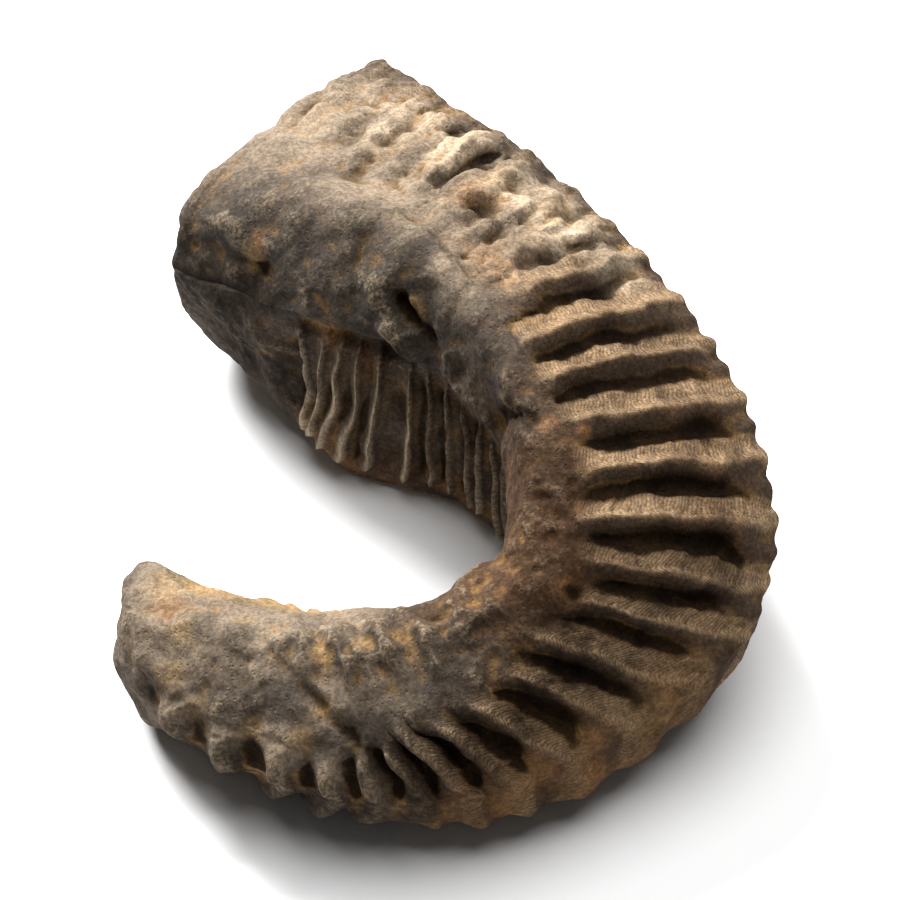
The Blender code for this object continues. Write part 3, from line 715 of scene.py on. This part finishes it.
def meshFromRings(name, rings, rows, valve, values):
    # closed mesh through these rings, with a point at either end and the values as attributes
    count, size = rings.shape[:2]
    points = np.concatenate((rings.reshape(-1, 3), rings[:1].mean(1), rings[-1:].mean(1)))
    ring = np.arange(count - 1)[:, None] * size
    corner = np.arange(size)
    following = (corner + 1) % size
    quads = (ring + corner, ring + size + corner, ring + size + following, ring + following)
    quads = np.stack(quads, -1).reshape(-1, 4)
    last = (count - 1) * size
    startFan = np.stack((corner, following, np.full(size, count * size)), -1)
    endFan = np.stack((last + following, last + corner, np.full(size, count * size + 1)), -1)
    faces = quads.tolist() + startFan.tolist() + endFan.tolist()
    if valve == "lower":
        faces = [face[::-1] for face in faces]
    mesh = bpy.data.meshes.new(name)
    mesh.from_pydata(points.tolist(), [], faces)
    mesh.update()
    for key, value in values.items():
        whole = np.zeros((count, size))
        whole[:, :rows] = value
        whole[:, rows:] = value[:, -1:]
        flat = np.concatenate((whole.reshape(-1), whole[0, :1], whole[-1, :1])).astype(np.float32)
        layer = mesh.attributes.new(key, "FLOAT", "POINT")
        layer.data.foreach_set("value", flat)
    mesh.shade_smooth()
    mesh.set_sharp_from_angle(angle=math.radians(75))
    print(name, len(points), "points")
    return addObject(name, mesh)


# Materials

def addNode(tree, kind, **settings):
    node = tree.nodes.new(kind)
    for key, value in settings.items():
        setattr(node, key, value)
    return node


def join(tree, source, target):
    # links a socket, or sets a number or a colour on the target itself
    if isinstance(source, (int, float)):
        target.default_value = source
    elif isinstance(source, tuple):
        target.default_value = (*source, 1.0)
    else:
        tree.links.new(source, target)


def mathNode(tree, operation, *values, clamp=False):
    node = addNode(tree, "ShaderNodeMath", operation=operation, use_clamp=clamp)
    for slot, value in enumerate(values):
        join(tree, value, node.inputs[slot])
    return node.outputs[0]


def multiply(tree, product, *factors):
    for factor in factors:
        product = mathNode(tree, "MULTIPLY", product, factor)
    return product


def scaleAndAdd(tree, value, factor, added, clamp=False):
    return mathNode(tree, "MULTIPLY_ADD", value, factor, added, clamp=clamp)


def without(tree, value, amount, clamp=False):
    # 1 where value is 0, less by amount where it is 1
    return scaleAndAdd(tree, value, -amount, 1.0, clamp)


def remap(tree, value, low, high, toLow=0.0, toHigh=1.0):
    node = addNode(tree, "ShaderNodeMapRange", interpolation_type="SMOOTHSTEP")
    labels = ("Value", "From Min", "From Max", "To Min", "To Max")
    for label, number in zip(labels, (value, low, high, toLow, toHigh)):
        join(tree, number, node.inputs[label])
    return node.outputs["Result"]


def mixColour(tree, factor, first, second, mode="MIX"):
    node = addNode(tree, "ShaderNodeMix", data_type="RGBA", blend_type=mode)
    for slot, value in ((0, factor), (6, first), (7, second)):
        join(tree, value, node.inputs[slot])
    return node.outputs[2]


def noiseValue(tree, vector, scale, detail, roughness=0.5):
    node = addNode(tree, "ShaderNodeTexNoise")
    labels = ("Vector", "Scale", "Detail", "Roughness")
    for label, value in zip(labels, (vector, scale, detail, roughness)):
        join(tree, value, node.inputs[label])
    return node.outputs["Fac"]


def spotDistance(tree, vector, scale):
    node = addNode(tree, "ShaderNodeTexVoronoi", feature="F1")
    join(tree, vector, node.inputs["Vector"])
    join(tree, scale, node.inputs["Scale"])
    return node.outputs["Distance"]


def attributeValue(tree, label):
    node = addNode(tree, "ShaderNodeAttribute", attribute_name=label, attribute_type="GEOMETRY")
    return node.outputs["Fac"]


def layOut(tree):
    # each node in a column to the left of what it feeds
    depth = {node.name: 0 for node in tree.nodes}
    changed = True
    while changed:
        changed = False
        for link in tree.links:
            least = depth[link.to_node.name] + 1
            if depth[link.from_node.name] < least:
                depth[link.from_node.name] = least
                changed = True
    filled = {}
    for node in tree.nodes:
        column = depth[node.name]
        filled[column] = filled.get(column, 0) + 1
        node.location = (-220 * column, -260 * filled[column])


def newGroup(name, inputs, outputs):
    # a vector and these numbers go in, numbers come out
    tree = bpy.data.node_groups.new(name, "ShaderNodeTree")
    tree.interface.new_socket(name="Vector", in_out="INPUT", socket_type="NodeSocketVector")
    for label, value in inputs.items():
        socket = tree.interface.new_socket(name=label, in_out="INPUT", socket_type="NodeSocketFloat")
        socket.default_value = value
    for label in outputs:
        tree.interface.new_socket(name=label, in_out="OUTPUT", socket_type="NodeSocketFloat")
    return tree, tree.nodes.new("NodeGroupInput").outputs, tree.nodes.new("NodeGroupOutput").inputs


def stoneMottleGroup():
    # patches of colour, specks and flakes
    tree, entry, leave = newGroup("stoneMottle", {"Patch Size": 150.0}, ("Patches", "Speckle", "Flakes"))
    patches = noiseValue(tree, entry["Vector"], entry["Patch Size"], detail=6, roughness=0.62)
    speckle = noiseValue(tree, entry["Vector"], scale=1900, detail=5, roughness=0.7)
    flakes = spotDistance(tree, entry["Vector"], scale=900)
    join(tree, remap(tree, patches, 0.28, 0.72), leave["Patches"])
    join(tree, remap(tree, speckle, 0.34, 0.68), leave["Speckle"])
    join(tree, remap(tree, flakes, 0.1, 0.75), leave["Flakes"])
    layOut(tree)
    return tree


def growthLinesGroup():
    # fine growth lamellae that follow the ribs' chevrons
    inputs = {"Growth": 0.0, "Spacing": 0.55, "Waviness": 2.0}
    tree, entry, leave = newGroup("growthLines", inputs, ("Ledges", "Edges"))
    warp = noiseValue(tree, entry["Vector"], scale=300, detail=4)
    shifted = scaleAndAdd(tree, warp, entry["Waviness"], entry["Growth"])
    ledge = mathNode(tree, "FRACT", mathNode(tree, "DIVIDE", shifted, entry["Spacing"]))
    join(tree, ledge, leave["Ledges"])
    join(tree, mathNode(tree, "POWER", ledge, 4.0), leave["Edges"])
    layOut(tree)
    return tree


def stoneGritGroup():
    # height of the finest grain, for bump
    tree, entry, leave = newGroup("stoneGrit", {"Grain": 0.8, "Pores": 0.35}, ("Height",))
    grain = noiseValue(tree, entry["Vector"], scale=900, detail=8, roughness=0.68)
    pores = remap(tree, spotDistance(tree, entry["Vector"], scale=1500), 0.05, 0.35)
    high = multiply(tree, grain, entry["Grain"])
    join(tree, scaleAndAdd(tree, pores, entry["Pores"], high), leave["Height"])
    layOut(tree)
    return tree


groups = {"mottle": stoneMottleGroup(), "growth": growthLinesGroup(), "grit": stoneGritGroup()}


def groupOutputs(tree, name, inputs):
    node = addNode(tree, "ShaderNodeGroup", node_tree=groups[name])
    for label, value in inputs.items():
        join(tree, value, node.inputs[label])
    return node.outputs


upperStone = {
    "grey": (0.056, 0.044, 0.034),
    # dark grey stone, and painted shade on faces turned from the light
    "greyAndShadeColour": (0.03, 0.0255, 0.0205),
    # the stone's cream tone, and painted light on faces turned to the lamp
    "creamAndLit": (0.19, 0.145, 0.102),
    # pale chalky patches, and painted light on the outer flank
    "chalkAndLit": (0.34, 0.262, 0.182),
    # painted light on the ribs' sunny side
    "litTan": (0.23, 0.146, 0.078),
    "brown": (0.046, 0.022, 0.0098),
    # painted shade on undersides and on faces turned from the light
    "shadowBrown": (0.013, 0.0078, 0.0042),
    # brown blotches on the crown, and painted shade on the ribs' steep side
    "blotchAndShadeBrown": (0.046, 0.029, 0.0175),
    "ochre": (0.15, 0.084, 0.03),
    "gold": (0.23, 0.145, 0.062),
    "rust": (0.15, 0.072, 0.028),
    # painted shade in the furrows and hollows
    "shadeDark": (0.007, 0.004, 0.0025),
    "pale": (0.2, 0.148, 0.094),
    "frost": 0.5,               # how pale the worn edges are
    "roughness": 0.82,
    "bump": 0.00022,            # metres
}

lowerStone = dict(
    upperStone,
    # painted highlight on the blade tops
    bladeHighlight=(0.3, 0.235, 0.165),
    brown=(0.03, 0.016, 0.0075),
    frost=0.4,
)

# How each kind of zone is painted, in this order: colour, the mottle that breaks it up, that
# mottle's range and the paint's strength at either end of it
zonePaint = {
    # partly painted light
    "warmAndLit": ("creamAndLit", "broad", (0, 1), (0.75, 1)),
    # partly painted light
    "chalkAndLit": ("chalkAndLit", "patches", (0, 0.9), (0.35, 1)),
    # partly painted shade
    "greyAndShade": ("greyAndShadeColour", "broad", (0, 1), (0.95, 0.6)),
    # painted shade zones
    "shadowed": ("shadowBrown", "patches", (0, 1), (0.95, 0.55)),
    "rust": ("rust", "patches", (0.1, 0.9), (0.2, 0.9)),
    "gold": ("gold", "broad", (0.1, 0.9), (0.45, 1)),
}

# Ranges that the paint follows, and in fours the strength at either end too
paint = {
    "broadPatches": 60,
    "turnsBrown": (4.0, 6.5),   # station numbers along the crown
    "turnsGrey": (11.5, 9.0),
    "crownBlotches": 0.55,
    "ledges": (0.15, 0.85),
    "ledgeTan": (0.45, 0.25),   # share that follows the ledges, share everywhere
    "patchTan": 0.35,
    "ribRust": (0.55, 0.95, 0.0, 0.45),
    "broadStain": 0.1,
    "stain": (0.03, 0.34),
    "patchStain": (0.2, 0.9, 0.1, 0.7),
    "speckleEdge": -0.06,
    "wornEdge": (-0.06, -0.42),
    "frost": (0.15, 0.85),
    "leastFrost": 0.35,
    "bare": (0.8, 0.6, 0.92),   # how far the painted shade zones, the warm and lit zones and the ribs hold the pale edges back
    "lineLight": (0.92, 0.08),  # pale growth lines: share on a rib's sunny side, share everywhere
    "linePatches": (0.25, 0.75, 0.05, 0.9),
    "lineShadowed": 0.7,            # how far the painted shade holds them back
    # painted highlight on the blade tops
    "bladeHighlight": (0.45, 0.95, 0.0, 0.85),
    # painted shade in the hollows and furrows, and less specular there
    "hollow": (0.18, 0.75, 0.0, 0.9),
    "hollowShadeByWarm": 0.6,          # how far the warm and lit zones hold the painted shade in the hollows back
    "furrow": (0.05, 0.75, 0.0, 0.95),
    "specular": (0.0, 0.8, 0.08, 0.02),
    "speckleGrain": (0.0, 1.0, 0.7, 1.24),
    "patchGrain": (0.0, 1.0, 0.8, 1.22),
    "roughFlakes": (-0.12, 0.1),
    "lineBump": (0.8, 0.15),
}


def stoneMaterial(name, look, valve):
    material = bpy.data.materials.new(name)
    material.use_nodes = True
    tree = material.node_tree
    shader = tree.nodes["Principled BSDF"]
    vector = addNode(tree, "ShaderNodeTexCoord").outputs["Object"]
    mottle = groupOutputs(tree, "mottle", {"Vector": vector})
    patches, speckle, flakes = (mottle[label] for label in ("Patches", "Speckle", "Flakes"))
    broad = groupOutputs(tree, "mottle", {"Vector": vector, "Patch Size": paint["broadPatches"]})["Patches"]
    flank, furrow, cavity, cavityWide, station, sunSide, growth = (
        attributeValue(tree, label)
        for label in ("flank", "furrow", "cavity", "cavityWide", "place", "sunSide", "growth"))
    lines = groupOutputs(tree, "growth", {"Vector": vector, "Growth": growth})
    grit = groupOutputs(tree, "grit", {"Vector": vector})["Height"]
    # crown: grey near the beak, brown round the bend, grey again on the front arm
    bend = remap(tree, station, *paint["turnsBrown"])
    bend = multiply(tree, bend, remap(tree, station, *paint["turnsGrey"]))
    crown = mixColour(tree, bend, look["grey"], look["brown"])
    crown = mixColour(tree, multiply(tree, patches, paint["crownBlotches"]), crown, look["blotchAndShadeBrown"])
    # ribs: painted light and shade, tan on the side towards the beak that faces the light, brown on the
    # steep side turned from it
    lamella = scaleAndAdd(tree, remap(tree, lines["Ledges"], *paint["ledges"]), *paint["ledgeTan"])
    lamella = scaleAndAdd(tree, patches, paint["patchTan"], lamella)
    ribs = mixColour(tree, multiply(tree, sunSide, lamella), look["blotchAndShadeBrown"], look["litTan"])
    rusty = multiply(tree, remap(tree, broad, *paint["ribRust"]), patches)
    ribs = mixColour(tree, rusty, ribs, look["rust"])
    base = mixColour(tree, flank, crown, ribs)
    zones, painted = {}, {}
    for kind, (colour, texture, span, strength) in zonePaint.items():
        zones[kind] = attributeValue(tree, kind)
        uneven = remap(tree, broad if texture == "broad" else patches, *span, *strength)
        painted[kind] = multiply(tree, zones[kind], uneven)
        base = mixColour(tree, painted[kind], base, look[colour])
    # ochre sediment in the hollows
    stain = remap(tree, scaleAndAdd(tree, broad, paint["broadStain"], cavity), *paint["stain"])
    stain = multiply(tree, stain, remap(tree, patches, *paint["patchStain"]))
    base = mixColour(tree, stain, base, look["ochre"])
    # worn pale edges
    worn = remap(tree, scaleAndAdd(tree, speckle, paint["speckleEdge"], cavity), *paint["wornEdge"])
    frost = remap(tree, speckle, *paint["frost"], paint["leastFrost"] * look["frost"], look["frost"])
    byShadowed, byWarmAndLit, byFlank = paint["bare"]
    bare = multiply(
        tree, without(tree, painted["shadowed"], byShadowed, clamp=True), without(tree, zones["warmAndLit"], byWarmAndLit),
        without(tree, flank, byFlank))
    base = mixColour(tree, multiply(tree, worn, frost, bare), base, look["pale"])
    # pale growth lines on the ribs: the lamellae's pale edges, strongest on a rib's sunny side as painted
    # light
    edges = multiply(
        tree, scaleAndAdd(tree, sunSide, *paint["lineLight"]), flank, lines["Edges"],
        without(tree, painted["shadowed"], paint["lineShadowed"]), remap(tree, patches, *paint["linePatches"]))
    base = mixColour(tree, edges, base, look["pale"])
    if valve == "lower":
        # painted highlight: pale tops on the blades
        blade = remap(tree, attributeValue(tree, "blades"), *paint["bladeHighlight"])
        base = mixColour(tree, blade, base, look["bladeHighlight"])
    # painted shade: dark in the deep furrows and hollows
    hollow = remap(tree, cavityWide, *paint["hollow"])
    shaded = remap(tree, furrow, *paint["furrow"])
    furrowShade = mathNode(tree, "MAXIMUM", hollow, shaded)
    furrowShade = multiply(tree, furrowShade, without(tree, zones["warmAndLit"], paint["hollowShadeByWarm"]))
    join(tree, remap(tree, furrowShade, *paint["specular"]), shader.inputs["Specular IOR Level"])
    base = mixColour(tree, furrowShade, base, look["shadeDark"])
    grain = multiply(
        tree, remap(tree, speckle, *paint["speckleGrain"]), remap(tree, patches, *paint["patchGrain"]))
    shade = addNode(tree, "ShaderNodeCombineColor")
    for channel in range(3):
        join(tree, grain, shade.inputs[channel])
    base = mixColour(tree, 1.0, base, shade.outputs[0], "MULTIPLY")
    join(tree, base, shader.inputs["Base Color"])
    roughFrom, roughTo = (look["roughness"] + change for change in paint["roughFlakes"])
    join(tree, remap(tree, flakes, 0.0, 1.0, roughFrom, roughTo), shader.inputs["Roughness"])
    # growth lines and grit as bump
    ledges = multiply(tree, lines["Ledges"], flank, scaleAndAdd(tree, sunSide, *paint["lineBump"]))
    bump = addNode(tree, "ShaderNodeBump")
    join(tree, 1.0, bump.inputs["Strength"])
    join(tree, look["bump"], bump.inputs["Distance"])
    join(tree, mathNode(tree, "ADD", ledges, grit), bump.inputs["Height"])
    join(tree, bump.outputs["Normal"], shader.inputs["Normal"])
    layOut(tree)
    return material


def floorMaterial():
    material = bpy.data.materials.new("paleFloor")
    material.use_nodes = True
    shader = material.node_tree.nodes["Principled BSDF"]
    shader.inputs["Base Color"].default_value = studio["floorColour"]
    shader.inputs["Roughness"].default_value = 0.9
    shader.inputs["Specular IOR Level"].default_value = 0.1
    return material


studio = {
    "target": (0.38, -7.69, 20.0),    # millimetres
    "distance": 450.0,
    "elevation": 50.0,
    "lens": 150.0,
    # where each light comes from, its distance and size in metres, its power
    "lights": (
        ("keyLight", (-0.42, 0.7, 0.6), 0.9, 0.45, 29.0),
        ("topLight", (0.1, 0.2, 1.0), 0.9, 0.9, 12.0),
    ),
    "skyStrength": 0.08,
    "floorHalf": 3.0,           # metres
    "floorColour": (0.82, 0.82, 0.82, 1.0),
}


def setStudio():
    scene = bpy.context.scene
    target = Vector(studio["target"]) * mm
    rise = math.radians(studio["elevation"])
    lens = bpy.data.cameras.new("camera")
    lens.lens = studio["lens"]
    lens.sensor_width = 36.0
    lens.clip_start = 0.01
    camera = addObject("camera", lens)
    away = Vector((0, -math.cos(rise), math.sin(rise)))
    camera.location = target + away * studio["distance"] * mm
    camera.rotation_euler = (math.pi / 2 - rise, 0, 0)
    scene.camera = camera
    for name, aim, distance, size, power in studio["lights"]:
        light = bpy.data.lights.new(name, "AREA")
        light.shape = "DISK"
        light.size = size
        light.energy = power
        lamp = addObject(name, light)
        aim = Vector(aim).normalized()
        lamp.location = target + aim * distance
        lamp.rotation_euler = aim.to_track_quat("Z", "Y").to_euler()
    world = bpy.data.worlds.new("studioSky")
    world.use_nodes = True
    background = world.node_tree.nodes["Background"]
    background.inputs["Color"].default_value = (1.0, 1.0, 1.0, 1.0)
    background.inputs["Strength"].default_value = studio["skyStrength"]
    scene.world = world
    scene.view_settings.view_transform = "Standard"


def makeFloor():
    half = studio["floorHalf"]
    corners = [(-half, -half, 0), (half, -half, 0), (half, half, 0), (-half, half, 0)]
    mesh = bpy.data.meshes.new("floor")
    mesh.from_pydata(corners, [], [(0, 1, 2, 3)])
    mesh.materials.append(floorMaterial())
    floor = addObject("floor", mesh)


for node, valve, settings, look in (
    ("upper_valve", "upper", upperValve, upperStone),
    ("lower_valve", "lower", lowerValve, lowerStone),
):
    piece = makeValve(valve + "Shell", valve, settings)
    piece.data.materials.append(stoneMaterial(valve + "Stone", look, valve))
    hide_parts(node)
    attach(piece, "root")

makeFloor()
setStudio()
print("studio ready")
